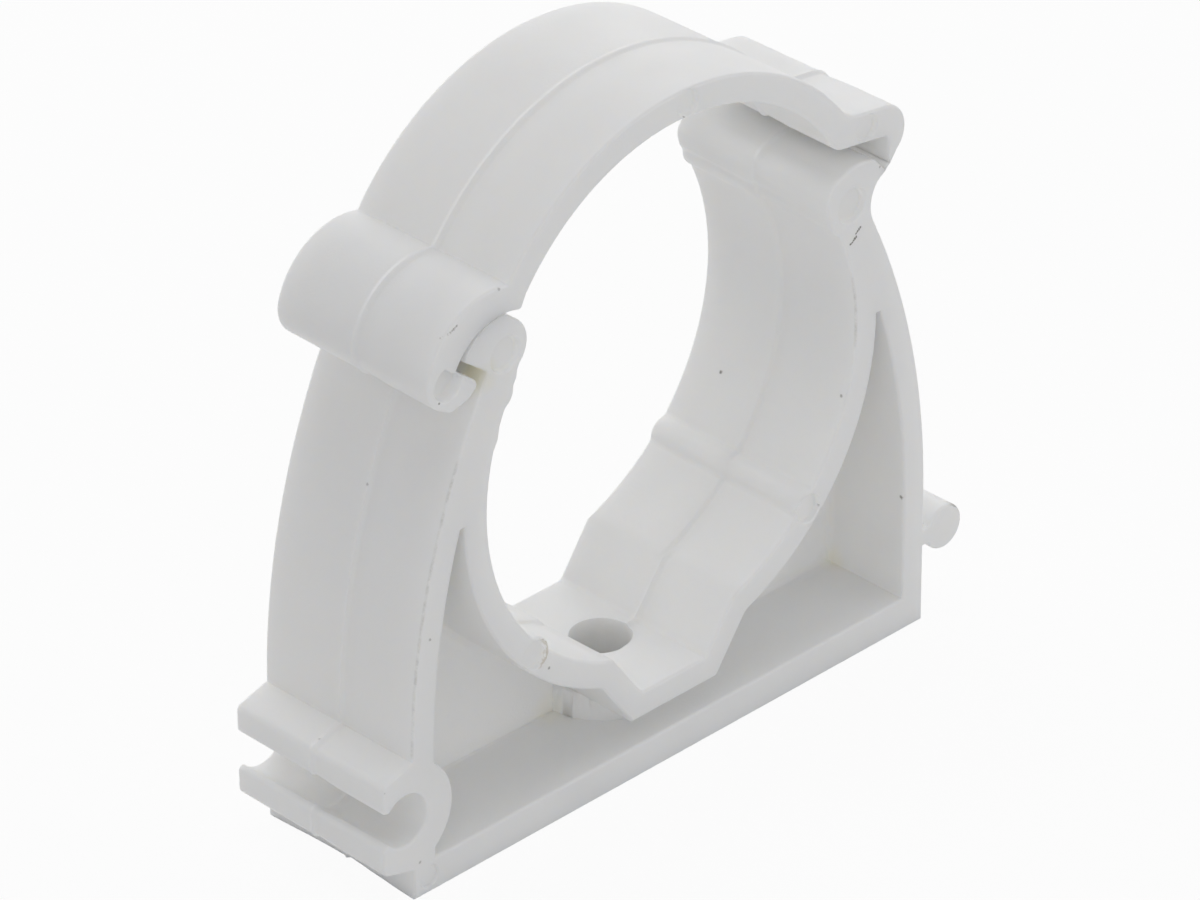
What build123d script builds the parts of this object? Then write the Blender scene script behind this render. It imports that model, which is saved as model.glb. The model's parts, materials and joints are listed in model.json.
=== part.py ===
from build123d import *
from math import asin, cos, degrees, radians, sin, sqrt, tan
import os

# Pipe clip with a hinged strap, a snap latch and side links for joining clips in a row.
# Millimetres and degrees. The clip stands on its mounting face, z = 0, with the screw axis on
# Z. The pipe runs along Y, and the outlines below are drawn as seen from the front, in X and Z.

# Pipe and overall form
pipe_radius = 20.0
clip_width = 16.5
axis_height = 30.9
base_width = 56.6
base_thickness = 3.0
base_rounding = 0.15
ring_wall = 2.4

# Flanks: upright at the foot, then one arc up to the arms
flank_foot = 12.0
flank_wall = 2.4
arm_wall = 3.55
arm_angle = 32.8
neck_angle = 33.0
web_thickness = 1.0
recess_top_rise = 0.1
recess_top_rounding = 0.12

# Screw pocket under the pipe
pocket_floor_height = 7.7
pocket_floor_width = 7.0
pocket_mouth_width = 13.2
pocket_wall = 2.3
pocket_rounding = 0.5
pocket_root_blend = 1.0
screw_hole_radius = 2.55
screw_boss_radius = 5.3

# Low ribs along the bore: two under the arms and two that hold the ejector pads
grip_rib_angle = 28.5
grip_rib_radius = 1.6
grip_rib_height = 0.32
pad_angle = 43.7
pad_radius = 1.6
pad_height = 0.55
rib_blend = 0.6
neck_blend = 0.4

# Left head, round under the latch: the barb's face lies on a radius of the crown
crown_radius = 5.3
crown_setback = 1.75
crown_angle = 147.8
crown_top_angle = 112.0
crown_end_angle = 85.0
nose_radius = 2.56
nose_shift = 0.2
nose_lift = 2.3
nose_top_angle = 53.0
nose_bottom_angle = 52.0
nose_blend = 1.5
barb_reach = 4.8
barb_angle = 143.6
barb_length = 2.8
barb_rounding = 0.3

# Latch on the strap: a lobe over the crown that ends in a hook under the barb
seat_clearance = 0.15
hook_clearance = 0.8
lobe_radius = 6.9
lobe_shift = 1.06
lobe_lift = 1.1
lobe_root_angle = 72.0
bulb_radius = 3.0
bulb_angle = 163.6
hook_tip_angle = 328.0
hook_tip_rounding = 0.6
chin_rounding = 0.45

# Living hinge and the right head below it
hinge_setback = 6.65
hinge_angle = 29.25
film_thickness = 0.25
film_length = 0.6
film_slope = 43.0
stub_rise = 1.0
stub_slope_run = 1.2
stub_brow_run = 5.0
stub_reach = 6.7
stub_drop = 1.4
brow_radius = 4.0
cheek_radius = 2.1
notch_radius = 3.0
notch_run = 4.2

# Strap: a band over the pipe, and a shoulder that turns down to the hinge
strap_rise = 6.0
strap_shift = 0.5
strap_wall = 2.55
strap_right_angle = 31.5
strap_left_angle = 150.0
shoulder_radius = 2.5
shoulder_wall = 1.95
shoulder_setback = 0.45
shoulder_height = 2.88
shoulder_slope = 8.5
shoulder_blend = 2.6
underside_rounding = 1.5
slot_rounding = 0.4

# Side links: a groove between two lips on the left, a bead on the right
link_height = 7.7
groove_radius = 2.2
groove_throat = 2.8
groove_wall = 2.75
groove_setback = 0.7
lip_reach = 3.15
lip_height = 8.2
lip_root_height = 10.0
lip_rounding = 0.8
throat_rounding = 0.6
bead_clearance = 0.2
bead_setback = 2.4
bead_neck = 1.6

# Ejector marks, sunk in the front face
mark_depth = 0.2
mark_radius = 1.45
nose_mark_run = 0.15
nose_mark_drop = 0.48
pad_mark_radius = 1.2
right_pad_mark_shift = 0.35
strap_mark_radius = 1.1
strap_mark_angle = 88.0
shoulder_mark_run = 1.9
shoulder_mark_rise = 1.4
stub_mark_run = 3.92
stub_mark_drop = 2.0
base_mark_radius = 0.95
base_mark_inset = 1.6
hook_recess_radius = 1.35
hook_recess_depth = 1.0
hook_recess_shift = 0.77
hook_recess_drop = 0.46
hook_recess_flat_angle = 48.0

# Worked out from the sizes above
half_width = clip_width / 2
half_base = base_width / 2
bore_axis = (0, axis_height)
strap_axis = (strap_shift, axis_height + strap_rise)
front = Plane.XZ.offset(half_width)


def around(centre, radius, angle):
    """The point at a radius and an angle from +X around a centre."""
    return (centre[0] + radius * cos(radians(angle)), centre[1] + radius * sin(radians(angle)))


def shifted(point, right, up):
    return (point[0] + right, point[1] + up)


def mirrored(point):
    return (-point[0], point[1])


def rib_feet(radius, height, angle):
    """Where a rib of this radius and height meets the bore, on both sides of its angle."""
    half = degrees(sqrt(2 * radius * height - height**2) / pipe_radius)
    return [around(bore_axis, pipe_radius, angle + side) for side in (-half, half)]


def corners(sketch, *points):
    """The outline's corners nearest to these points."""
    return [sketch.vertices().sort_by_distance(point)[0] for point in points]


def pocket_outline():
    """Inside of the screw pocket: a flat floor and two sloping walls up to the bore."""
    Polyline(
        (-pocket_floor_width / 2, pocket_floor_height),
        (pocket_floor_width / 2, pocket_floor_height),
        (pocket_mouth_width / 2, bore_floor),
        (-pocket_mouth_width / 2, bore_floor),
        close=True,
    )


arm_point = around(bore_axis, pipe_radius + arm_wall, arm_angle)
neck_point = around(bore_axis, pipe_radius, neck_angle)
flank_inset = half_base - arm_point[0]
flank_rise = arm_point[1] - flank_foot
flank_radius = (flank_inset**2 + flank_rise**2) / (2 * flank_inset)
recess_radius = flank_radius - flank_wall
recess_half = half_base - flank_wall
recess_top = axis_height + recess_top_rise
recess_inset = recess_radius - sqrt(recess_radius**2 - (recess_top - flank_foot) ** 2)
recess_corner = (recess_half - recess_inset, recess_top)
bore_floor = axis_height - sqrt(pipe_radius**2 - (pocket_mouth_width / 2) ** 2)
pad_circle = pipe_radius + pad_radius - pad_height
pocket_root = (pocket_mouth_width / 2 + pocket_wall / 2, bore_floor - ring_wall / 2)

crown_centre = around(bore_axis, pipe_radius + crown_setback, crown_angle)
nose_centre = shifted(crown_centre, nose_shift, nose_lift)
barb_tip = around(crown_centre, barb_reach, barb_angle)
barb_root = around(crown_centre, barb_reach - barb_length, barb_angle)
seat_radius = crown_radius + seat_clearance
heel_angle = barb_angle + degrees(asin(hook_clearance / seat_radius))
lobe_centre = shifted(crown_centre, -lobe_shift, lobe_lift)
bulb_centre = around(lobe_centre, lobe_radius - bulb_radius, bulb_angle)
latch_plane = Plane.YZ.offset(crown_centre[0])

hinge_point = around(bore_axis, pipe_radius + hinge_setback, hinge_angle)
shoulder_centre = shifted(hinge_point, -shoulder_setback, shoulder_height)
band_end = around(strap_axis, pipe_radius, strap_right_angle)
shoulder_side = shoulder_centre[0] + shoulder_radius - shoulder_wall
shoulder_corner = (
    shoulder_side,
    band_end[1] - (shoulder_side - band_end[0]) * tan(radians(shoulder_slope)),
)

groove_centre = (-half_base - groove_setback, link_height)
bead_centre = (half_base + bead_setback, link_height)
bead_radius = groove_radius - bead_clearance
lip_face = -half_base - lip_reach


def film_corner(along, across):
    """A corner of the hinge film: along it towards the strap, across it towards the pipe."""
    return around(around(hinge_point, along, film_slope), across, film_slope + 90)


film_saddle_outer = film_corner(-film_length / 2, -film_thickness / 2)
film_saddle_inner = film_corner(-film_length / 2, film_thickness / 2)
film_strap_outer = film_corner(film_length / 2, -film_thickness / 2)
film_strap_inner = film_corner(film_length / 2, film_thickness / 2)


# Saddle: everything that stays on the wall

with BuildPart() as saddle:
    with BuildSketch(Plane.XZ) as outline:
        # Base, flanks and arms as one solid block
        with BuildLine():
            foot = Line((-half_base, 0), (half_base, 0))
            right_wall = Line(foot @ 1, (half_base, flank_foot))
            right_flank = TangentArc(right_wall @ 1, arm_point, tangent=(0, 1))
            left_wall = Line(foot @ 0, (-half_base, flank_foot))
            left_flank = TangentArc(left_wall @ 1, mirrored(arm_point), tangent=(0, 1))
            Polyline(right_flank @ 1, neck_point, mirrored(neck_point), left_flank @ 1)
        make_face()

        # Link block on the left wall, with sloping top and bottom faces
        with BuildLine():
            Polyline(
                (-half_base + flank_wall, link_height + lip_root_height / 2),
                (-half_base, link_height + lip_root_height / 2),
                (lip_face, link_height + lip_height / 2),
                (lip_face, link_height - lip_height / 2),
                (-half_base, link_height - lip_root_height / 2),
                (-half_base + flank_wall, link_height - lip_root_height / 2),
                close=True,
            )
        make_face()

        # Link bead on the right wall, on its neck
        with Locations(bead_centre):
            Circle(bead_radius)
        with Locations(shifted(bead_centre, -bead_setback / 2, 0)):
            Rectangle(bead_setback + flank_wall, bead_neck)

        with Locations(bore_axis):
            Circle(pipe_radius, mode=Mode.SUBTRACT)

        # Left head: barb, crown and nose
        with BuildLine():
            Line(barb_root, barb_tip)
            crown = ThreePointArc(
                barb_tip,
                around(crown_centre, crown_radius, crown_top_angle),
                around(crown_centre, crown_radius, crown_end_angle),
            )
            nose = CenterArc(
                nose_centre, nose_radius, nose_top_angle, -nose_top_angle - nose_bottom_angle
            )
            Line(crown @ 1, nose @ 0)
            Polyline(
                nose @ 1,
                mirrored(neck_point),
                around(bore_axis, pipe_radius + arm_wall / 2, 180 - grip_rib_angle),
                barb_root,
            )
        make_face()

        # Right head: a stub that thins to the edge of the living hinge
        with BuildLine():
            slope = Line(film_saddle_inner, shifted(hinge_point, -stub_slope_run, stub_rise))
            brow = RadiusArc(
                slope @ 1, shifted(hinge_point, -stub_brow_run, stub_rise), -brow_radius
            )
            cheek = RadiusArc(
                brow @ 1, shifted(hinge_point, -stub_reach, -stub_drop), -cheek_radius
            )
            Polyline(
                cheek @ 1,
                neck_point,
                around(bore_axis, pipe_radius + arm_wall / 2, grip_rib_angle),
                around(film_saddle_outer, -notch_run, film_slope),
                film_saddle_outer,
                film_saddle_inner,
            )
        make_face()

        # Grip ribs and ejector pads along the bore
        for angle in (grip_rib_angle, 180 - grip_rib_angle):
            with Locations(around(bore_axis, pipe_radius + grip_rib_radius - grip_rib_height, angle)):
                Circle(grip_rib_radius)
        for angle in (-pad_angle, 180 + pad_angle):
            with Locations(around(bore_axis, pad_circle, angle)):
                Circle(pad_radius)

        # Screw pocket and link groove
        with BuildLine():
            pocket_outline()
        make_face(mode=Mode.SUBTRACT)
        with Locations(groove_centre):
            Circle(groove_radius, mode=Mode.SUBTRACT)
        with Locations((lip_face, link_height)):
            Rectangle(2 * (groove_centre[0] - lip_face), groove_throat, mode=Mode.SUBTRACT)

        # Rounded corners
        fillet(corners(outline, around(hinge_point, -notch_radius, film_slope)), notch_radius)
        fillet(
            corners(
                outline,
                (-pocket_floor_width / 2, pocket_floor_height),
                (pocket_floor_width / 2, pocket_floor_height),
            ),
            pocket_rounding,
        )
        for side in (groove_throat / 2, -groove_throat / 2):
            fillet(corners(outline, (lip_face, link_height + side)), throat_rounding)
        for side in (lip_height / 2, -lip_height / 2):
            fillet(corners(outline, (lip_face, link_height + side)), lip_rounding)
        fillet(corners(outline, barb_tip), barb_rounding)
        fillet(corners(outline, nose @ 1), nose_blend)
        fillet(corners(outline, neck_point, mirrored(neck_point)), neck_blend)
        for angle in (grip_rib_angle, 180 - grip_rib_angle):
            fillet(corners(outline, *rib_feet(grip_rib_radius, grip_rib_height, angle)), rib_blend)
        for angle in (-pad_angle, 180 + pad_angle):
            fillet(corners(outline, *rib_feet(pad_radius, pad_height, angle)), rib_blend)
        fillet(corners(outline, (-half_base, 0), (half_base, 0)), base_rounding)
    extrude(amount=half_width, both=True)

    # Recesses in front of the web and behind it
    with BuildSketch(Plane.XZ) as recess:
        with BuildLine():
            floor_line = Line((-recess_half, base_thickness), (recess_half, base_thickness))
            right_side = Line(floor_line @ 1, (recess_half, flank_foot))
            right_arc = TangentArc(right_side @ 1, recess_corner, tangent=(0, 1))
            left_side = Line(floor_line @ 0, (-recess_half, flank_foot))
            left_arc = TangentArc(left_side @ 1, mirrored(recess_corner), tangent=(0, 1))
            Line(right_arc @ 1, left_arc @ 1)
        make_face()
        with Locations(bore_axis):
            Circle(pipe_radius + ring_wall, mode=Mode.SUBTRACT)
        with Locations(groove_centre):
            Circle(groove_radius + groove_wall, mode=Mode.SUBTRACT)
        with BuildLine():
            pocket_outline()
            offset(amount=pocket_wall, kind=Kind.INTERSECTION, mode=Mode.REPLACE)
        make_face(mode=Mode.SUBTRACT)
        fillet(corners(recess, recess_corner, mirrored(recess_corner)), recess_top_rounding)
        fillet(corners(recess, pocket_root, mirrored(pocket_root)), pocket_root_blend)
    extrude(amount=half_width, mode=Mode.SUBTRACT)
    with BuildSketch(Plane.XZ.offset(-web_thickness)):
        add(recess.sketch_local)
    extrude(amount=web_thickness - half_width, mode=Mode.SUBTRACT)

    # Boss and hole for the screw
    with BuildSketch(Plane.XY.offset(base_thickness)):
        Circle(screw_boss_radius)
    extrude(amount=pocket_floor_height - pocket_wall - base_thickness)
    with BuildSketch(Plane.XY):
        Circle(screw_hole_radius)
    extrude(amount=pocket_floor_height, mode=Mode.SUBTRACT)

    # Ejector marks on the heads, the pads and the base
    with BuildSketch(front):
        with Locations(
            shifted(nose_centre, nose_mark_run, -nose_mark_drop),
            shifted(hinge_point, -stub_mark_run, -stub_mark_drop),
        ):
            Circle(mark_radius)
        with Locations(
            shifted(around(bore_axis, pad_circle, -pad_angle), -right_pad_mark_shift, 0),
            around(bore_axis, pad_circle, 180 + pad_angle),
        ):
            Circle(pad_mark_radius)
        with Locations((base_mark_inset - half_base, base_thickness / 2)):
            Circle(base_mark_radius)
    extrude(amount=-mark_depth, mode=Mode.SUBTRACT)
    saddle.part.label = "saddle"


# One outline for the strap and its latch, which the next two pieces share

with BuildSketch(Plane.XZ) as closure:
    # Band over the pipe, cut back to the seat over the left head
    band_size = strap_left_angle - strap_right_angle
    with BuildLine():
        inner = CenterArc(strap_axis, pipe_radius, strap_right_angle, band_size)
        outer = CenterArc(strap_axis, pipe_radius + strap_wall, strap_right_angle, band_size)
        Line(inner @ 0, outer @ 0)
        Line(inner @ 1, outer @ 1)
    make_face()
    with Locations(crown_centre):
        Circle(seat_radius, mode=Mode.SUBTRACT)

    # Latch: lobe, bulb and hook
    with BuildLine():
        lobe = CenterArc(
            lobe_centre, lobe_radius, lobe_root_angle, bulb_angle - lobe_root_angle
        )
        bulb = CenterArc(bulb_centre, bulb_radius, bulb_angle, hook_tip_angle - bulb_angle)
        seat = CenterArc(crown_centre, seat_radius, heel_angle, lobe_root_angle - heel_angle)
        Line(bulb @ 1, seat @ 0)
        Line(seat @ 1, lobe @ 0)
    make_face()

    # Shoulder: a sloping bar that turns down to the edge of the hinge film
    with BuildLine():
        bend = CenterArc(
            shoulder_centre, shoulder_radius, film_slope - 90, 180 - shoulder_slope - film_slope
        )
        bar_run = (bend @ 1).X - band_end[0]
        bar_top = Line(
            bend @ 1, (band_end[0], (bend @ 1).Y + bar_run * tan(radians(shoulder_slope)))
        )
        Polyline(
            bar_top @ 1,
            band_end,
            shoulder_corner,
            film_strap_inner,
            film_strap_outer,
            bend @ 0,
        )
    make_face()

    # Rounded corners
    fillet(corners(closure, bulb @ 1), hook_tip_rounding)
    fillet(corners(closure, around(crown_centre, seat_radius, lobe_root_angle - 12)), chin_rounding)
    fillet(corners(closure, band_end), underside_rounding)
    fillet(corners(closure, shoulder_corner), slot_rounding)
    blend_point = around(strap_axis, pipe_radius + strap_wall, strap_right_angle + 4)
    fillet(corners(closure, blend_point), shoulder_blend)


# Strap, from the hinge film to the root of the latch

with BuildPart() as strap:
    extrude(closure.sketch, amount=half_width, both=True)
    split(bisect_by=latch_plane, keep=Keep.TOP)
    with BuildSketch(front):
        with Locations(
            around(strap_axis, pipe_radius + strap_wall / 2, strap_mark_angle),
            shifted(shoulder_centre, -shoulder_mark_run, shoulder_mark_rise),
        ):
            Circle(strap_mark_radius)
    extrude(amount=-mark_depth, mode=Mode.SUBTRACT)
    strap.part.label = "strap"


# Latch hook: the end of the strap that springs over the barb

with BuildPart() as latch_hook:
    extrude(closure.sketch, amount=half_width, both=True)
    split(bisect_by=latch_plane, keep=Keep.BOTTOM)
    with BuildSketch(front):
        # A round recess with a flat side, so that a thin wall stays between it and the slot
        with BuildLine():
            bowl = CenterArc(
                shifted(bulb_centre, -hook_recess_shift, -hook_recess_drop),
                hook_recess_radius,
                barb_angle - 90 + hook_recess_flat_angle,
                360 - 2 * hook_recess_flat_angle,
            )
            Line(bowl @ 1, bowl @ 0)
        make_face()
    extrude(amount=-hook_recess_depth, mode=Mode.SUBTRACT)
    latch_hook.part.label = "latch_hook"


# Hinge film: the thin web that bends between the right head and the strap

with BuildPart() as hinge_film:
    with BuildSketch(Plane.XZ):
        with BuildLine():
            Polyline(
                film_saddle_outer,
                film_strap_outer,
                film_strap_inner,
                film_saddle_inner,
                close=True,
            )
        make_face()
    extrude(amount=half_width, both=True)
    hinge_film.part.label = "hinge_film"


os.makedirs("parts", exist_ok=True)
for piece in (saddle, strap, latch_hook, hinge_film):
    export_step(piece.part, f"parts/{piece.part.label}.step")
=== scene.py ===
"""A moulded white plastic pipe clip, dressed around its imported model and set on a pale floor.

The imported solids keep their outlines. Here their rims are rounded, the walls get the draft and the
parting line of the mould, and the ejector marks are cut again with soft edges. The meshes are
worked on in millimetres and scaled at the end.
"""
import json
import math
from functools import reduce

import bmesh
import bpy
from mathutils import Matrix, Vector


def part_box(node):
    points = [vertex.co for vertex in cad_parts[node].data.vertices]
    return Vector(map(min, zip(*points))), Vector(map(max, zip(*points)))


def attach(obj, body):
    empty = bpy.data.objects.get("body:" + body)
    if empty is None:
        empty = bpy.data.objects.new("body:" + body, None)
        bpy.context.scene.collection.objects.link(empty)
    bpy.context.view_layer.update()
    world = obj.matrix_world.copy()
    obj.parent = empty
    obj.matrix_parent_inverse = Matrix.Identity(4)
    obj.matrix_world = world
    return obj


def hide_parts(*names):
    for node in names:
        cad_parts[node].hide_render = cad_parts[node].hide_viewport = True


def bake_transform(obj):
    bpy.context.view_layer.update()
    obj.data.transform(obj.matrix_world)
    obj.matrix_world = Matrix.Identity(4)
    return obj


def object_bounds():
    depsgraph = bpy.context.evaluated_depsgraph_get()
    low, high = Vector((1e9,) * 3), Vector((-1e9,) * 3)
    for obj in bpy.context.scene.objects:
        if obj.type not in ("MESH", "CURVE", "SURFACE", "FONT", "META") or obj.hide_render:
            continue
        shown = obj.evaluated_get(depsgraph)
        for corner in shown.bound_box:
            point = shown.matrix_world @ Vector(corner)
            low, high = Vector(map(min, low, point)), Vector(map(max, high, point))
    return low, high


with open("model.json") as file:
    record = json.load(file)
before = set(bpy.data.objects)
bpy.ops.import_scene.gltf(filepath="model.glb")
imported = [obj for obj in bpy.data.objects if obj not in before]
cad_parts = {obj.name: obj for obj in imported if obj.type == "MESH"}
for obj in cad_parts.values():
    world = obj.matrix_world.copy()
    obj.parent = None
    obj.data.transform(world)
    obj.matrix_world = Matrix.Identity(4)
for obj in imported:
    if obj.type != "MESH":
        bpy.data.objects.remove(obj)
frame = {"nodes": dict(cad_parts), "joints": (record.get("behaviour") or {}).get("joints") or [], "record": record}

CAD_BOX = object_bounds()
MM = 0.001
MOUNTS = {mount["name"]: mount for mount in frame["record"]["mounts"]}


def millimetres(place):
    """A place in metres, as a vector in millimetres."""
    return Vector([value / MM for value in place])


# Places and sizes of the clip that the frame gives, in millimetres
FRONT = CAD_BOX[0].y / MM
REAR = CAD_BOX[1].y / MM
LATCH_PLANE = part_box("strap")[0].x / MM
HINGE = millimetres(frame["joints"][0]["pos_m"])
BORE_CENTRE = millimetres(MOUNTS["pipe_seat"]["pos_m"])
BORE_RADIUS = MOUNTS["pipe_seat"]["dims"]["r_mm"]
HOLE_RADIUS = MOUNTS["screw_hole"]["dims"]["r_mm"]
BEAD = millimetres(MOUNTS["link_bead"]["pos_m"])

# The clip's other sizes, in millimetres
CROWN = Vector((LATCH_PLANE, 0, 42.49))
SEAT_RADIUS = 5.375
BOSS_RADIUS = 5.3
MARK_DEPTH = 0.2
HOOK_RECESS_DEPTH = 1.0

# Hinge film: the waist is a share of its thickness, and its ends reach into the plastic by the root
FILM_SLOPE = math.radians(43.0)
FILM_LENGTH = 0.6
FILM_THICKNESS = 0.25
FILM_WAIST = 0.85
FILM_ROOT = 0.04
FILM_INSET = 0.03
FILM_SLICES = 12

# Kinds of wall: from front to rear, along the bore, round a recess, and round the screw hole
THROUGH, BORE, RECESS, HOLE = 1, 2, 3, 4
BORE_REACH = BORE_RADIUS + 1.0
BORE_FACING = 0.3
FACING_FRONT = 0.99
UPRIGHT = 0.01
ON_RADIUS = 0.02
SHORT_OF_WIDTH = 0.01

# Tolerances: vertices that are one, a vertex on a plane, and the turn between faces that are flat
SAME_PLACE = 0.0005
ON_PLANE = 0.002
FLAT_TURN = 0.001

# Rims: rounded front and rear edges, finer towards the hinge film and in the latch's seat
RIM_RADIUS = 0.27
RIM_STEPS = 4
HINGE_FADE = (0.25, 1.6)
SEAT_FADE = (0.15, 0.9)
CRISP_RIM = 0.1

# Mould: how far a wall lies under its CAD face, from the front rim to the rear rim
OUTER_PROFILE = ((-8.25, 0.04), (-3.0, 0.08), (-0.65, 0.2), (-0.25, 0.0), (0.05, 0.1), (8.25, 0.18))
BORE_PROFILE = ((-8.25, 0.05), (-0.2, 0.2), (0.2, 0.0), (8.25, 0.13))
EXTRA_LEVELS = (-6.0, -4.0, -2.0, 2.0, 4.0, 6.0)

# Corners between the web, whose front is at 0, and the walls of the recesses
WEB_REAR = 1.0
WEB_FILLET = 0.8
WEB_STEPS = 4
WEB_FADE = (23.0, 29.5)
BOSS_FADE = (5.5, 7.5)

# Corners where two walls meet: the same wall above this cosine, and how sharp a mitre gets
SAME_WALL = 0.99996
MITRE_LIMIT = 0.4
GATHER_PASSES = 3

# Creases: a corner turns by more than this, and large faces shape the shading most
CREASE = math.radians(32)
LARGE_FACE_WEIGHT = 100

# Marks in the front face: sides and steps of the turned cutter, its slope and its height outside
TURNED_SIDES = 64
MARK_STEPS = 4
MARK_SLOPE = 0.02
MARK_HEAD = 0.3

# Ejector marks and recesses: centre in X and Z, radius, depth and softness, and a flat on one
LEFT_PAD = (-15.22, 16.36)
SADDLE_MARKS = (
    ((-18.055, 44.31), 1.45, 0.55, 0.4),
    ((19.33, 41.92), 1.45, 0.55, 0.4),
    ((14.87, 16.36), 1.2, 0.5, 0.3),
    (LEFT_PAD, 1.2, 0.5, 0.3),
    ((-26.7, 1.55), 0.95, 0.2, 0.2),
)
STRAP_MARKS = (
    ((1.24, 58.16), 1.1, 0.45, 0.35),
    ((20.90, 48.20), 1.1, 0.45, 0.35),
    ((-23.976, 44.231), 1.35, 1.0, 0.4, (math.radians(53.6), 0.72)),
)

# Underside, a little hollow along the left edge
FOOT_LEFT = -28.0
FOOT_HEIGHT = 0.5
FOOT_HOLLOW = 0.35
FOOT_SPAN = 7.0

# Plastic: its colours, how light sinks into it, and its surface, with sizes in millimetres
PLASTIC_COLOUR = (0.945, 0.945, 0.935, 1)
SHADED_COLOUR = (0.9, 0.9, 0.89, 1)
# Painted warm light for the latch slot and two corners, a painted shade in brown for a crescent on a mark, and one
# dark colour for dirt and for painted shade
PAINTED_WARM_LIGHT = (0.95, 0.9, 0.77, 1)
PAINTED_SHADE_BROWN = (0.45, 0.38, 0.27, 1)
DIRT_AND_SHADE_COLOUR = (0.12, 0.1, 0.08, 1)
SCATTER_RADIUS = (1.0, 0.93, 0.82)
SCATTER_DEPTH = 1.8 * MM
SCATTER_SHARE = 0.75
PLASTIC_IOR = 1.45
PLASTIC_ROUGHNESS = (0.38, 0.52)
ROUGHNESS_CLOUD = (0.3, 0.7)
CLOUD_SIZE = 5.0
SHADED_CLOUD = (0.35, 0.7)
SHADED_SHARE = 0.3
GRAIN_SIZE = 0.22
GRAIN_HEIGHT = 0.012
RIPPLE_SIZE = 2.6
RIPPLE_HEIGHT = 0.03

# Marks of use, and the painted light and shade: how ragged they are, where a spot fades in radii, and how close a
# stroke's spots are
RAGGED_SIZE = 0.3
RAGGED_SHIFT = 0.25
SPOT_FADE = (0.4, 1.2)
STROKE_SPACING = 1.7

# Marks of use on each piece: a place in millimetres, a radius and a strength each
SADDLE_SPOTS = (
    ((18.05, 4.54, 22.13), 0.17, 0.77),
    ((19.04, -7.63, 24.66), 0.14, 0.51),
    ((16.06, -8.13, 16.14), 0.12, 0.42),
    ((-26.26, -8.25, 22.84), 0.12, 0.42),
    ((-13.76, -8.25, 14.6), 0.14, 0.59),
    ((-24.87, -0.15, 32.49), 0.14, 0.42),
    ((-30.39, -0.16, 12.09), 0.14, 0.34),
    ((25.9, -7.9, 12.45), 0.18, 0.8),
    ((-27.66, -8.25, 3.35), 0.14, 0.42),
    ((-31.2, -8.18, 11.3), 0.1, 0.51),
    ((22.4, -8.2, 44.2), 0.12, 0.51),
)
SADDLE_STROKES = (
    (((20.3, -8.25, 39.65), (19.82, -8.25, 39.3), (19.84, -8.25, 39.0), (19.1, -8.25, 38.45)), 0.12, 0.9),
)
STRAP_SPOTS = (
    ((-18.65, -8.22, 50.25), 0.13, 0.42),
    ((-24.97, -8.25, 43.02), 0.14, 0.77),
    ((0.87, -8.17, 57.09), 0.16, 0.68),
)
STRAP_STROKES = (
    (((-24.4, -7.9, 48.25), (-23.7, -8.2, 48.6), (-22.9, -8.25, 49.05)), 0.12, 0.55),
)
# Painted warm light in the latch slot and in two corners by the web and the floor: a place in millimetres, a
# radius and a strength each
PAINTED_WARM_LIGHT_SPOTS = (
    ((-20.2, -7.0, 43.13), 1.7, 0.9),
    ((-6.2, -0.6, 3.6), 1.6, 0.4),
    ((26.2, -0.6, 3.4), 1.5, 0.4),
)

# Crescents of painted shade round a mark and round the bead's end: centre in X and Z and radius, and where they
# fade
PAD_SHADE_RING = (LEFT_PAD, 1.33)
BEAD_SHADE_RING = ((BEAD.x, BEAD.z), 1.9)
RING_WIDTH = 0.12
RING_STRENGTH = 0.55
RING_SIDE = (0.2, 0.6)
RING_BEHIND = (0.5, 0.8)

# A broken dark line along arcs of the front edge: each arc and its lowest and highest point, and where it fades
EDGE_ARCS = (
    (((34.87, 12.0), 63.17), (12.5, 37.5)),
    (((BORE_CENTRE.x, BORE_CENTRE.z), BORE_RADIUS), (28.5, 36.0)),
)
EDGE_OFF_ARC = (0.05, 0.22)
EDGE_BEHIND = (0.12, 0.3)
EDGE_TAPER = 1.0
BREAK_SIZE = 0.7
BREAK_NOISE = (0.4, 0.66)
BREAK_STRENGTH = (0.1, 0.4)

# Camera: where it looks, from how far, and its turn about the view line
TARGET = Vector((-8.188, -8.25, 31.762)) * MM
DISTANCE = 644.07 * MM
AZIMUTH = math.radians(-44.774)
ELEVATION = math.radians(31.443)
ROLL = math.radians(0.167)
LENS = 254.45
SENSOR = 36.0
NEAREST = 0.01
FARTHEST = 10.0

# Light: the world's part in it, and the lamps by name, direction from the clip and power in watts
WORLD_COLOUR = (0.497, 0.5, 0.508, 1)
WORLD_LIGHT = 0.62
LAMPS = (
    ("top", (0.0, 0.0, 1.0), 0.75),
    ("rear", (0.0, 1.0, 0.4), 1.3),
    ("rear_right", (1.0, 1.0, 0.6), 0.74),
    ("front_right", (1.0, -1.0, 0.5), 0.66),
    ("front_left", (-1.0, -1.0, 0.6), 0.68),
)
LAMP_DISTANCE = 0.7
LAMP_SIZE = 0.6
LAMP_AIM = Vector((0, 0, 25)) * MM

# Floor: its half width, its surface under the light, and how far it is plain white to the camera
FLOOR_REACH = 3.0
FLOOR_COLOUR = (0.93, 0.93, 0.93, 1)
FLOOR_ROUGHNESS = 0.9
FLOOR_SHINE = 0.2
FLOOR_WHITE = 0.93


def smooth(value, start, end):
    """0 before start, 1 after end, and a soft step between them."""
    t = min(1.0, max(0.0, (value - start) / (end - start)))
    return t * t * (3 - 2 * t)


def between(points, value):
    """The height of a run of straight pieces at a value."""
    for (x0, y0), (x1, y1) in zip(points, points[1:]):
        if value <= x1:
            return y0 + (y1 - y0) * (value - x0) / (x1 - x0)
    return points[-1][1]


# The camera

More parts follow.
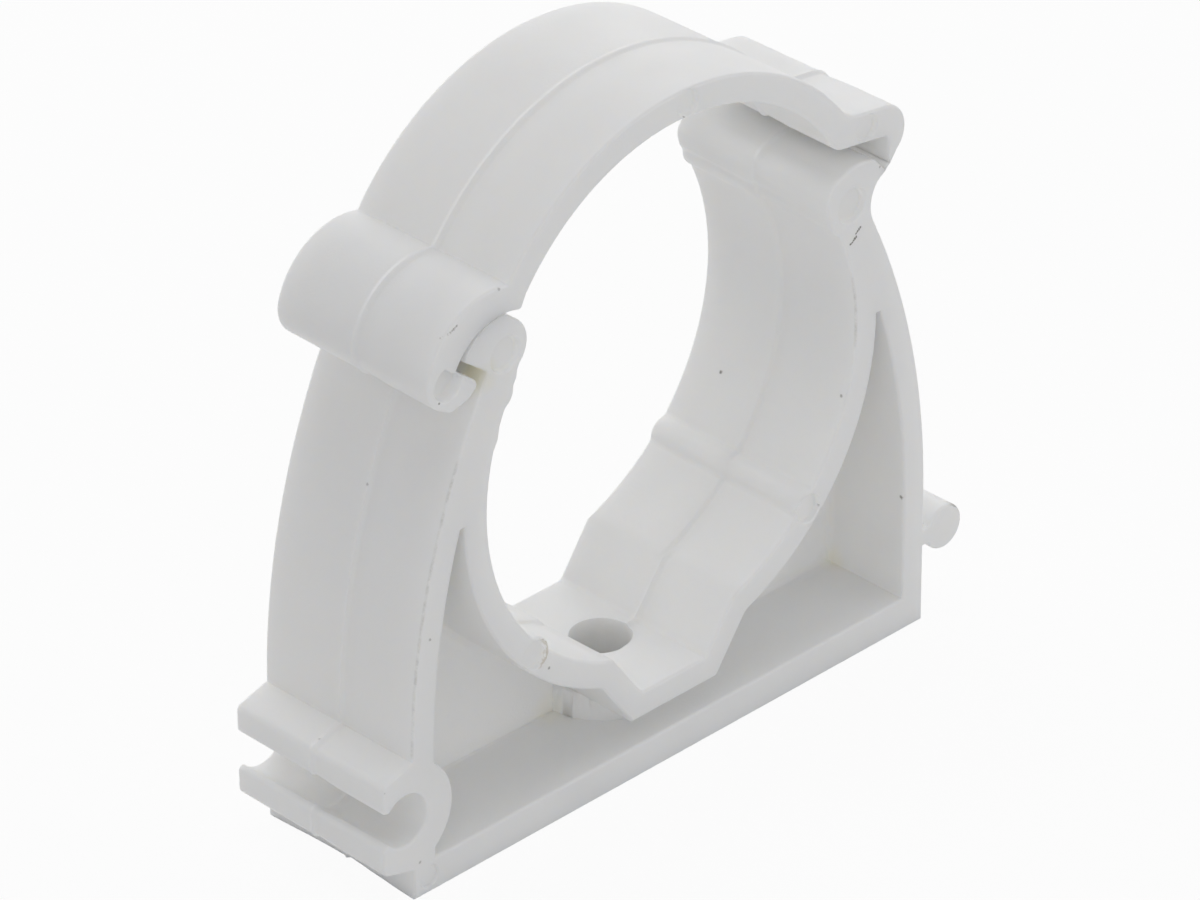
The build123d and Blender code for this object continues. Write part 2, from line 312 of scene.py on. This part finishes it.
def aim_camera():
    """Sets the camera where the photograph was taken from."""
    back = Vector((
        math.sin(AZIMUTH) * math.cos(ELEVATION),
        -math.cos(AZIMUTH) * math.cos(ELEVATION),
        math.sin(ELEVATION),
    ))
    level = Vector((0, 0, 1)).cross(back).normalized()
    up = back.cross(level)
    right = level * math.cos(ROLL) - up * math.sin(ROLL)
    data = bpy.data.cameras.new("camera")
    data.sensor_width = SENSOR
    data.lens = LENS
    data.clip_start = NEAREST
    data.clip_end = FARTHEST
    camera = bpy.data.objects.new("camera", data)
    axes = Matrix((right, back.cross(right), back)).transposed().to_4x4()
    camera.matrix_world = Matrix.Translation(TARGET + back * DISTANCE) @ axes
    bpy.context.collection.objects.link(camera)
    bpy.context.scene.camera = camera


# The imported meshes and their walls

def packed_mesh(*nodes):
    """The nodes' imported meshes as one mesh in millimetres, with the seam between them opened."""
    bm = bmesh.new()
    for node in nodes:
        bm.from_mesh(frame["nodes"][node].data)
    bmesh.ops.scale(bm, vec=(1 / MM,) * 3, verts=bm.verts)
    if len(nodes) > 1:
        seam = [f for f in bm.faces if all(abs(v.co.x - LATCH_PLANE) < ON_PLANE for v in f.verts)]
        bmesh.ops.delete(bm, geom=seam, context="FACES")
    bmesh.ops.remove_doubles(bm, verts=bm.verts, dist=SAME_PLACE)
    return bm


def join_flat_faces(bm):
    """Joins triangles that lie in one plane into whole faces."""
    bmesh.ops.dissolve_limit(bm, angle_limit=FLAT_TURN, verts=bm.verts[:], edges=bm.edges[:])


def close_hollows(bm):
    """Takes the sunk marks out of the front face."""
    floors = (FRONT + MARK_DEPTH, FRONT + HOOK_RECESS_DEPTH)
    sunk = [v for v in bm.verts if min(abs(v.co.y - y) for y in floors) < ON_PLANE]
    bmesh.ops.delete(bm, geom=sunk, context="VERTS")
    bmesh.ops.holes_fill(bm, edges=bm.edges[:], sides=0)
    bmesh.ops.recalc_face_normals(bm, faces=bm.faces[:])
    join_flat_faces(bm)


def is_bore(face):
    """True on a wall that faces the pipe."""
    inward = BORE_CENTRE - face.calc_center_median()
    inward.y = 0
    return inward.length < BORE_REACH and face.normal.dot(inward.normalized()) > BORE_FACING


def sort_walls(bm, kind):
    """Writes its kind on each wall, and leaves the faces that look to the front or rear without."""
    for face in bm.faces:
        if abs(face.normal.y) > FACING_FRONT:
            continue
        ys = [v.co.y for v in face.verts]
        radius = math.hypot(*face.verts[0].co.xy)
        gap = min(abs(radius - HOLE_RADIUS), abs(radius - BOSS_RADIUS))
        if abs(face.normal.z) < UPRIGHT and gap < ON_RADIUS:
            face[kind] = HOLE
        elif max(ys) - min(ys) < REAR - FRONT - SHORT_OF_WIDTH:
            face[kind] = RECESS
        else:
            face[kind] = BORE if is_bore(face) else THROUGH


def slice_across(bm, levels):
    """Cuts every face where it crosses one of these places along the width."""
    for y in levels:
        bmesh.ops.bisect_plane(
            bm,
            geom=bm.verts[:] + bm.edges[:] + bm.faces[:],
            dist=SAME_PLACE,
            plane_co=(0, y, 0),
            plane_no=(0, 1, 0),
        )


def rim_levels():
    """Where the walls are cut so that the rims can be rounded."""
    for step in range(1, RIM_STEPS):
        reach = RIM_RADIUS * (1 - math.sin(math.pi / 2 * step / RIM_STEPS))
        yield FRONT + reach
        yield REAR - reach
    yield FRONT + RIM_RADIUS
    yield REAR - RIM_RADIUS


def fillet_levels():
    """Where the walls are cut so that the corners beside the web can be rounded."""
    for step in range(1, WEB_STEPS + 1):
        reach = WEB_FILLET * (1 - math.cos(math.pi / 2 * step / WEB_STEPS))
        yield -reach
        yield WEB_REAR + reach


def looseness(point):
    """0 at the hinge film and in the latch's seat, where the edges stay crisp, and 1 elsewhere."""
    flat = Vector((point.x, 0, point.z))
    hinge = smooth((flat - HINGE).length, *HINGE_FADE)
    seat = smooth(abs((flat - CROWN).length - SEAT_RADIUS), *SEAT_FADE)
    return min(hinge, seat)


def rim_inset(point):
    """How far the rounding of the rims draws a wall in at this point."""
    depth = RIM_RADIUS - min(point.y - FRONT, REAR - point.y)
    if depth <= 0:
        return 0.0
    inset = RIM_RADIUS - math.sqrt(max(0.0, RIM_RADIUS**2 - depth**2))
    return inset * (CRISP_RIM + (1 - CRISP_RIM) * looseness(point))


def web_fillet(point):
    """How far the soft corner beside the web pushes a recess wall out at this point."""
    reach = -point.y if point.y <= 0 else point.y - WEB_REAR
    if reach < 0 or reach >= WEB_FILLET:
        return 0.0
    push = WEB_FILLET - math.sqrt(WEB_FILLET**2 - (WEB_FILLET - reach) ** 2)
    return push * (1 - smooth(point.z, *WEB_FADE)) * smooth(point.xy.length, *BOSS_FADE)


def wall_inset(kind, point):
    """How far a wall of this kind lies under its CAD face at this point."""
    if kind == RECESS:
        return rim_inset(point) - web_fillet(point)
    profile = BORE_PROFILE if kind == BORE else OUTER_PROFILE
    return rim_inset(point) + looseness(point) * between(profile, point.y)


def mitre(normals):
    """The move that carries a corner one unit behind both of its walls."""
    first = normals[0]
    last = min(normals, key=lambda n: n.dot(first))
    if last.dot(first) > SAME_WALL:
        return first
    return (first + last) / max(MITRE_LIMIT, 1 + first.dot(last))


def gather_turned_edges(bm, places):
    """Draws a small arc together where the walls have moved past its centre and turned it round."""
    chain = {}
    for edge in bm.edges:
        a, b = edge.verts
        if a not in places or b not in places or abs(a.co.y - b.co.y) > SAME_PLACE:
            continue
        before = b.co - a.co
        after = places[b] - places[a]
        if before.dot(after) < 0:
            joined = chain.get(a, {a}) | chain.get(b, {b})
            for vert in joined:
                chain[vert] = joined
    for joined in {id(group): group for group in chain.values()}.values():
        middle = sum((places[vert] for vert in joined), Vector()) / len(joined)
        for vert in joined:
            places[vert] = middle


def shape_walls(bm, kind):
    """Rounds the rims and gives the walls their draft, parting line and soft inner corners."""
    places = {}
    for vert in bm.verts:
        walls = [f for f in vert.link_faces if f[kind] in (THROUGH, BORE, RECESS)]
        if not walls:
            continue
        normals = []
        for face in walls:
            flat = Vector((face.normal.x, 0, face.normal.z)).normalized()
            if all(flat.dot(n) < SAME_WALL for n in normals):
                normals.append(flat)
        inset = sum(wall_inset(f[kind], vert.co) for f in walls) / len(walls)
        places[vert] = vert.co - mitre(normals) * inset
    for _ in range(GATHER_PASSES):
        gather_turned_edges(bm, places)
    for vert, place in places.items():
        vert.co = place
    bmesh.ops.remove_doubles(bm, verts=bm.verts, dist=SAME_PLACE)


def hollow_foot(bm):
    """Hollows the bottom left edge a little."""
    for vert in bm.verts:
        if vert.co.x < FOOT_LEFT and vert.co.z < FOOT_HEIGHT:
            vert.co.x += FOOT_HOLLOW * max(0.0, 1 - (vert.co.y / FOOT_SPAN) ** 2)
            vert.co.z = max(0.0, vert.co.z)


# The marks in the front face

def mesh_object(name, bm):
    """An object in the scene with this mesh."""
    mesh = bpy.data.meshes.new(name)
    bm.to_mesh(mesh)
    bm.free()
    piece = bpy.data.objects.new(name, mesh)
    bpy.context.collection.objects.link(piece)
    return piece


def skin(bm, rows):
    """Joins rows of vertices, all of one length, into a tube with a face at each end."""
    for row, other in zip(rows, rows[1:]):
        for k in range(len(row)):
            after = (k + 1) % len(row)
            bm.faces.new((row[k], row[after], other[after], other[k]))
    bm.faces.new(rows[0][::-1])
    bm.faces.new(rows[-1])


def lathe(bm, centre, rings, flat=None):
    """A closed turned shape along Y from rings of radius and depth behind the front face.

    A flat is a direction and a reach: past that reach of its first ring the shape is cut off.
    """
    rows = []
    for radius, depth in rings:
        row = []
        for k in range(TURNED_SIDES):
            turn = 2 * math.pi * k / TURNED_SIDES
            offset = Vector((math.cos(turn), 0, math.sin(turn))) * radius
            if flat:
                way = Vector((math.cos(flat[0]), 0, math.sin(flat[0])))
                past = offset.dot(way) - (flat[1] + radius - rings[0][0])
                offset -= way * max(0.0, past)
            row.append(bm.verts.new(Vector((centre[0], FRONT + depth, centre[1])) + offset))
        rows.append(row)
    skin(bm, rows)


def mark_rings(radius, depth, soft):
    """The rings of a round hollow with a rounded foot and a rounded rim."""
    foot = min(soft, depth) / 2
    turns = [math.pi / 2 * step / MARK_STEPS for step in range(MARK_STEPS + 1)]
    floor = [
        (radius - soft / 2 * (1 - math.sin(turn)), depth - foot * (1 - math.cos(turn)))
        for turn in turns
    ]
    rim = [
        (radius + MARK_SLOPE + soft / 2 * (1 - math.cos(turn)), foot * (1 - math.sin(turn)))
        for turn in turns
    ]
    return [*floor, *rim, (radius + soft / 2 + 3 * MARK_SLOPE, -MARK_HEAD)]


def apply_modifiers(piece):
    """Puts the mesh that the modifiers make in the place of the piece's own."""
    graph = bpy.context.evaluated_depsgraph_get()
    mesh = bpy.data.meshes.new_from_object(piece.evaluated_get(graph))
    piece.modifiers.clear()
    old = piece.data
    piece.data = mesh
    bpy.data.meshes.remove(old)


def cut_marks(piece, marks):
    """Cuts the ejector marks and recesses into the front face."""
    bm = bmesh.new()
    for centre, radius, depth, soft, *flat in marks:
        lathe(bm, centre, mark_rings(radius, depth, soft), *flat)
    bmesh.ops.recalc_face_normals(bm, faces=bm.faces[:])
    cutter = mesh_object("cutter", bm)
    cut = piece.modifiers.new("marks", "BOOLEAN")
    cut.operation = "DIFFERENCE"
    cut.solver = "EXACT"
    cut.object = cutter
    apply_modifiers(piece)
    bpy.data.objects.remove(cutter)


# The pieces

def finish_mesh(piece, material):
    """Scales the mesh to metres and shades it smooth, with creases at its sharp edges."""
    mesh = piece.data
    mesh.transform(Matrix.Scale(MM, 4))
    mesh.materials.clear()
    mesh.materials.append(material)
    mesh.shade_smooth()
    mesh.set_sharp_from_angle(angle=CREASE)
    weighted = piece.modifiers.new("flat faces stay flat", "WEIGHTED_NORMAL")
    weighted.keep_sharp = True
    weighted.weight = LARGE_FACE_WEIGHT


def moulded_piece(name, nodes, marks, material):
    """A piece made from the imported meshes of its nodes, with the finish of the mould."""
    bm = packed_mesh(*nodes)
    join_flat_faces(bm)
    close_hollows(bm)
    kind = bm.faces.layers.int.new("kind")
    sort_walls(bm, kind)
    profile_levels = [y for profile in (OUTER_PROFILE, BORE_PROFILE) for y, _ in profile[1:-1]]
    slice_across(bm, [*rim_levels(), *fillet_levels(), *profile_levels, *EXTRA_LEVELS])
    bm.normal_update()
    shape_walls(bm, kind)
    hollow_foot(bm)
    bmesh.ops.recalc_face_normals(bm, faces=bm.faces[:])
    piece = mesh_object(name, bm)
    cut_marks(piece, marks)
    finish_mesh(piece, material)
    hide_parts(*nodes)
    return piece


def hinge_piece(name, material):
    """The thin web between the saddle and the strap, sliced along its slope."""
    along = Vector((math.cos(FILM_SLOPE), 0, math.sin(FILM_SLOPE)))
    across = Vector((-along.z, 0, along.x))
    front = Vector((0, FRONT + FILM_INSET, 0))
    rear = Vector((0, REAR - FILM_INSET, 0))
    bm = bmesh.new()
    rows = []
    for step in range(FILM_SLICES + 1):
        share = 2 * step / FILM_SLICES - 1
        middle = HINGE + along * share * (FILM_LENGTH / 2 + FILM_ROOT)
        half = across * FILM_THICKNESS / 2 * (FILM_WAIST + (1 - FILM_WAIST) * share**2)
        corners = (half + front, half + rear, rear - half, front - half)
        rows.append([bm.verts.new(middle + corner) for corner in corners])
    skin(bm, rows)
    bmesh.ops.recalc_face_normals(bm, faces=bm.faces[:])
    piece = mesh_object(name, bm)
    finish_mesh(piece, material)
    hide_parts("hinge_film")
    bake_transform(piece)


# Shader nodes

def add_node(tree, kind, inputs=(), **settings):
    """A node with its settings, and its inputs given by name as values or as sockets to link."""
    node = tree.nodes.new("ShaderNode" + kind)
    for name, value in settings.items():
        setattr(node, name, value)
    for name, value in dict(inputs).items():
        if isinstance(value, bpy.types.NodeSocket):
            tree.links.new(value, node.inputs[name])
        else:
            node.inputs[name].default_value = value
    return node


def calculate(tree, operation, *values):
    """One math node on one or two values."""
    return add_node(tree, "Math", dict(enumerate(values)), operation=operation).outputs[0]


def combine(tree, operation, *values):
    """All the values together, by math nodes in a row."""
    return reduce(lambda first, second: calculate(tree, operation, first, second), values)


def measure(tree, operation, first, second):
    """One vector node on two places, which gives a vector or a distance in metres."""
    node = add_node(tree, "VectorMath", {0: first, 1: second}, operation=operation)
    return node.outputs["Value" if operation == "DISTANCE" else "Vector"]


def noise(tree, place, size, detail=2.0, roughness=0.5):
    """Noise from 0 to 1 with features of about this size in millimetres."""
    inputs = {"Vector": place, "Scale": 1 / (size * MM), "Detail": detail, "Roughness": roughness}
    return add_node(tree, "TexNoise", inputs).outputs["Fac"]


def spread(tree, value, low, high, start=0.0, end=1.0):
    """Moves a value from one range to another, and holds it there."""
    inputs = {"Value": value, "From Min": low, "From Max": high, "To Min": start, "To Max": end}
    return add_node(tree, "MapRange", inputs, clamp=True).outputs["Result"]


def fade_out(tree, length, start, end, strength=1.0):
    """The strength up to the start, falling to 0 at the end, both in millimetres."""
    return spread(tree, length, start * MM, end * MM, strength, 0.0)


def mix_colours(tree, share, first, second):
    """Goes from the first colour to the second as the share goes from 0 to 1."""
    node = add_node(tree, "Mix", data_type="RGBA")
    for name, value in (("Factor_Float", share), ("A_Color", first), ("B_Color", second)):
        socket = next(s for s in node.inputs if s.identifier == name)
        if isinstance(value, bpy.types.NodeSocket):
            tree.links.new(value, socket)
        else:
            socket.default_value = value
    return next(s for s in node.outputs if s.identifier == "Result_Color")


def add_bump(tree, height, distance, below=None):
    """A normal that rises and falls with the height, by this distance in millimetres."""
    inputs = {"Height": height, "Strength": 1.0, "Distance": distance * MM}
    if below:
        inputs["Normal"] = below
    return add_node(tree, "Bump", inputs).outputs["Normal"]


# The marks of use, and the painted light and shade

def stroke_spots(points, radius, strength):
    """Spots set close enough along a run of points to read as one stroke."""
    spots = []
    for start, end in zip(points, points[1:]):
        start, end = Vector(start), Vector(end)
        count = max(1, round((end - start).length / (STROKE_SPACING * radius)))
        spots += [(start.lerp(end, k / count), radius, strength) for k in range(count)]
    return spots


def spot_mask(tree, place, spots):
    """The strongest of the spots at each point of the surface."""
    masks = []
    for centre, radius, strength in spots:
        gap = measure(tree, "DISTANCE", place, Vector(centre) * MM)
        masks.append(fade_out(tree, gap, *(share * radius for share in SPOT_FADE), strength))
    return combine(tree, "MAXIMUM", *masks)


def off_arc(tree, place, arc):
    """How far a point lies from a circle seen from the front, in metres."""
    (centre_x, centre_z), radius = arc
    flat = measure(tree, "MULTIPLY", place, (1, 0, 1))
    gap = measure(tree, "DISTANCE", flat, (centre_x * MM, 0, centre_z * MM))
    return calculate(tree, "ABSOLUTE", calculate(tree, "SUBTRACT", gap, radius * MM))


def behind_front(tree, y, start, end):
    """1 on the front face, falling to 0 between two distances behind it."""
    return fade_out(tree, y, FRONT + start, FRONT + end)


def half_ring(tree, place, arc):
    """A thin crescent of painted shade along the right-hand half of a circle on the front face."""
    (centre_x, _), radius = arc
    x, y, _ = add_node(tree, "SeparateXYZ", {0: place}).outputs
    line = fade_out(tree, off_arc(tree, place, arc), RING_WIDTH / 2, RING_WIDTH, RING_STRENGTH)
    side = spread(tree, x, *((centre_x + share * radius) * MM for share in RING_SIDE))
    return combine(tree, "MULTIPLY", line, side, behind_front(tree, y, *RING_BEHIND))


def edge_dark_line(tree, place, broken, arc, heights):
    """A broken dark line along an arc of the front edge, between two heights."""
    _, y, z = add_node(tree, "SeparateXYZ", {0: place}).outputs
    line = fade_out(tree, off_arc(tree, place, arc), *EDGE_OFF_ARC)
    middle = sum(heights) / 2
    away = calculate(tree, "ABSOLUTE", calculate(tree, "SUBTRACT", z, middle * MM))
    reach = heights[1] - middle
    ends = fade_out(tree, away, reach - EDGE_TAPER, reach)
    return combine(tree, "MULTIPLY", line, behind_front(tree, y, *EDGE_BEHIND), ends, broken)


def ragged_place(tree, place):
    """The place with a small shift by noise, which gives spots and strokes ragged edges."""
    inputs = {"Vector": place, "Scale": 1 / (RAGGED_SIZE * MM), "Detail": 2.0}
    ragged = add_node(tree, "TexNoise", inputs).outputs["Color"]
    whole = Vector((RAGGED_SHIFT,) * 3) * MM
    inputs = {0: ragged, 1: whole, 2: -whole / 2}
    shift = add_node(tree, "VectorMath", inputs, operation="MULTIPLY_ADD").outputs[0]
    return measure(tree, "ADD", place, shift)


def saddle_painted_light(tree, place, jittered_place, colour):
    """Painted warm light in the latch slot and two corners, and a brown crescent of painted shade on a mark."""
    colour = mix_colours(tree, spot_mask(tree, place, PAINTED_WARM_LIGHT_SPOTS), colour, PAINTED_WARM_LIGHT)
    return mix_colours(tree, half_ring(tree, jittered_place, PAD_SHADE_RING), colour, PAINTED_SHADE_BROWN)


def saddle_dark_lines(tree, place, jittered_place):
    """A dark crescent of painted shade round the bead's end, and a broken dark line along the arcs of the front
    edge.
    """
    breaks = noise(tree, place, BREAK_SIZE, detail=4.0, roughness=0.75)
    broken = spread(tree, breaks, *BREAK_NOISE, *BREAK_STRENGTH)
    edges = [edge_dark_line(tree, place, broken, arc, heights) for arc, heights in EDGE_ARCS]
    return combine(tree, "MAXIMUM", half_ring(tree, jittered_place, BEAD_SHADE_RING), *edges)


# The plastic

def moulded_plastic(name, spots=(), strokes=(), with_painted_light=False):
    """Satin white plastic that light sinks into, with fine grain and the marks of use, and painted light and shade
    on the saddle.
    """
    material = bpy.data.materials.new(name)
    material.use_nodes = True
    tree = material.node_tree
    shader = tree.nodes["Principled BSDF"]
    place = add_node(tree, "TexCoord").outputs["Object"]

    cloud = noise(tree, place, CLOUD_SIZE, detail=3.0)
    shade = spread(tree, cloud, *SHADED_CLOUD, 0.0, SHADED_SHARE)
    colour = mix_colours(tree, shade, PLASTIC_COLOUR, SHADED_COLOUR)
    if spots:
        jittered_place = ragged_place(tree, place)
        dark = [*spots, *(spot for stroke in strokes for spot in stroke_spots(*stroke))]
        dirt_and_shade = spot_mask(tree, jittered_place, dark)
        # On the saddle: painted warm light, crescents of painted shade round a mark and the bead's end, and a
        # broken dark line along the front edge
        if with_painted_light:
            colour = saddle_painted_light(tree, place, jittered_place, colour)
            dirt_and_shade = calculate(tree, "MAXIMUM", dirt_and_shade, saddle_dark_lines(tree, place, jittered_place))
        # The dark colour over the dirt, and on the saddle over the painted shade and the edge line too
        colour = mix_colours(tree, dirt_and_shade, colour, DIRT_AND_SHADE_COLOUR)
    tree.links.new(colour, shader.inputs["Base Color"])
    roughness = spread(tree, cloud, *ROUGHNESS_CLOUD, *PLASTIC_ROUGHNESS)
    tree.links.new(roughness, shader.inputs["Roughness"])

    ripple = noise(tree, place, RIPPLE_SIZE, detail=1.0)
    grain = noise(tree, place, GRAIN_SIZE, roughness=0.6)
    waves = add_bump(tree, ripple, RIPPLE_HEIGHT)
    tree.links.new(add_bump(tree, grain, GRAIN_HEIGHT, waves), shader.inputs["Normal"])

    shader.inputs["Subsurface Weight"].default_value = SCATTER_SHARE
    shader.inputs["Subsurface Radius"].default_value = SCATTER_RADIUS
    shader.inputs["Subsurface Scale"].default_value = SCATTER_DEPTH
    shader.inputs["IOR"].default_value = PLASTIC_IOR
    return material


# Light and floor

def mix_in_white(tree, shader, white, output, share=1.0):
    """Shows the white shader to the camera and in reflections, and the other one to the light."""
    path = add_node(tree, "LightPath").outputs
    rays = [path[f"Is {kind} Ray"] for kind in ("Camera", "Glossy", "Transmission")]
    seen = calculate(tree, "MULTIPLY", combine(tree, "MAXIMUM", *rays), share)
    mixed = add_node(tree, "MixShader", {0: seen, 1: shader, 2: white}).outputs[0]
    tree.links.new(mixed, output.inputs["Surface"])


def light_world():
    """A dim world as light, and a white one as backdrop."""
    world = bpy.data.worlds.new("studio")
    bpy.context.scene.world = world
    world.use_nodes = True
    tree = world.node_tree
    dim = tree.nodes["Background"]
    dim.inputs["Color"].default_value = WORLD_COLOUR
    dim.inputs["Strength"].default_value = WORLD_LIGHT
    white = add_node(tree, "Background", {"Color": (1, 1, 1, 1), "Strength": 1.0})
    mix_in_white(tree, dim.outputs[0], white.outputs[0], tree.nodes["World Output"])


def add_lamps():
    """Large round lamps, each turned to the clip."""
    for name, direction, power in LAMPS:
        away = Vector(direction).normalized()
        data = bpy.data.lights.new(name, "AREA")
        data.shape = "DISK"
        data.size = LAMP_SIZE
        data.energy = power
        lamp = bpy.data.objects.new(name, data)
        lamp.location = LAMP_AIM + away * LAMP_DISTANCE
        lamp.rotation_euler = away.to_track_quat("Z", "Y").to_euler()
        lamp.visible_camera = False
        bpy.context.collection.objects.link(lamp)


def lay_floor():
    """A pale floor that takes the clip's shadow and is nearly white to the camera."""
    bm = bmesh.new()
    bmesh.ops.create_grid(bm, x_segments=1, y_segments=1, size=FLOOR_REACH)
    floor = mesh_object("floor", bm)
    material = bpy.data.materials.new("pale_floor")
    material.use_nodes = True
    tree = material.node_tree
    shader = tree.nodes["Principled BSDF"]
    shader.inputs["Base Color"].default_value = FLOOR_COLOUR
    shader.inputs["Roughness"].default_value = FLOOR_ROUGHNESS
    shader.inputs["Specular IOR Level"].default_value = FLOOR_SHINE
    white = add_node(tree, "Emission", {"Strength": 1.0})
    output = tree.nodes["Material Output"]
    mix_in_white(tree, shader.outputs[0], white.outputs[0], output, share=FLOOR_WHITE)
    floor.data.materials.append(material)


# The scene

aim_camera()
saddle_plastic = moulded_plastic("saddle_plastic", SADDLE_SPOTS, SADDLE_STROKES, with_painted_light=True)
strap_plastic = moulded_plastic("strap_plastic", STRAP_SPOTS, STRAP_STROKES)
saddle = moulded_piece("clip_saddle", ("saddle",), SADDLE_MARKS, saddle_plastic)
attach(saddle, "saddle")
strap = moulded_piece("clip_strap", ("strap", "latch_hook"), STRAP_MARKS, strap_plastic)
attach(strap, "strap")
hinge_piece("clip_hinge", moulded_plastic("hinge_plastic"))

light_world()
add_lamps()
lay_floor()
bpy.context.scene.view_settings.view_transform = "Standard"
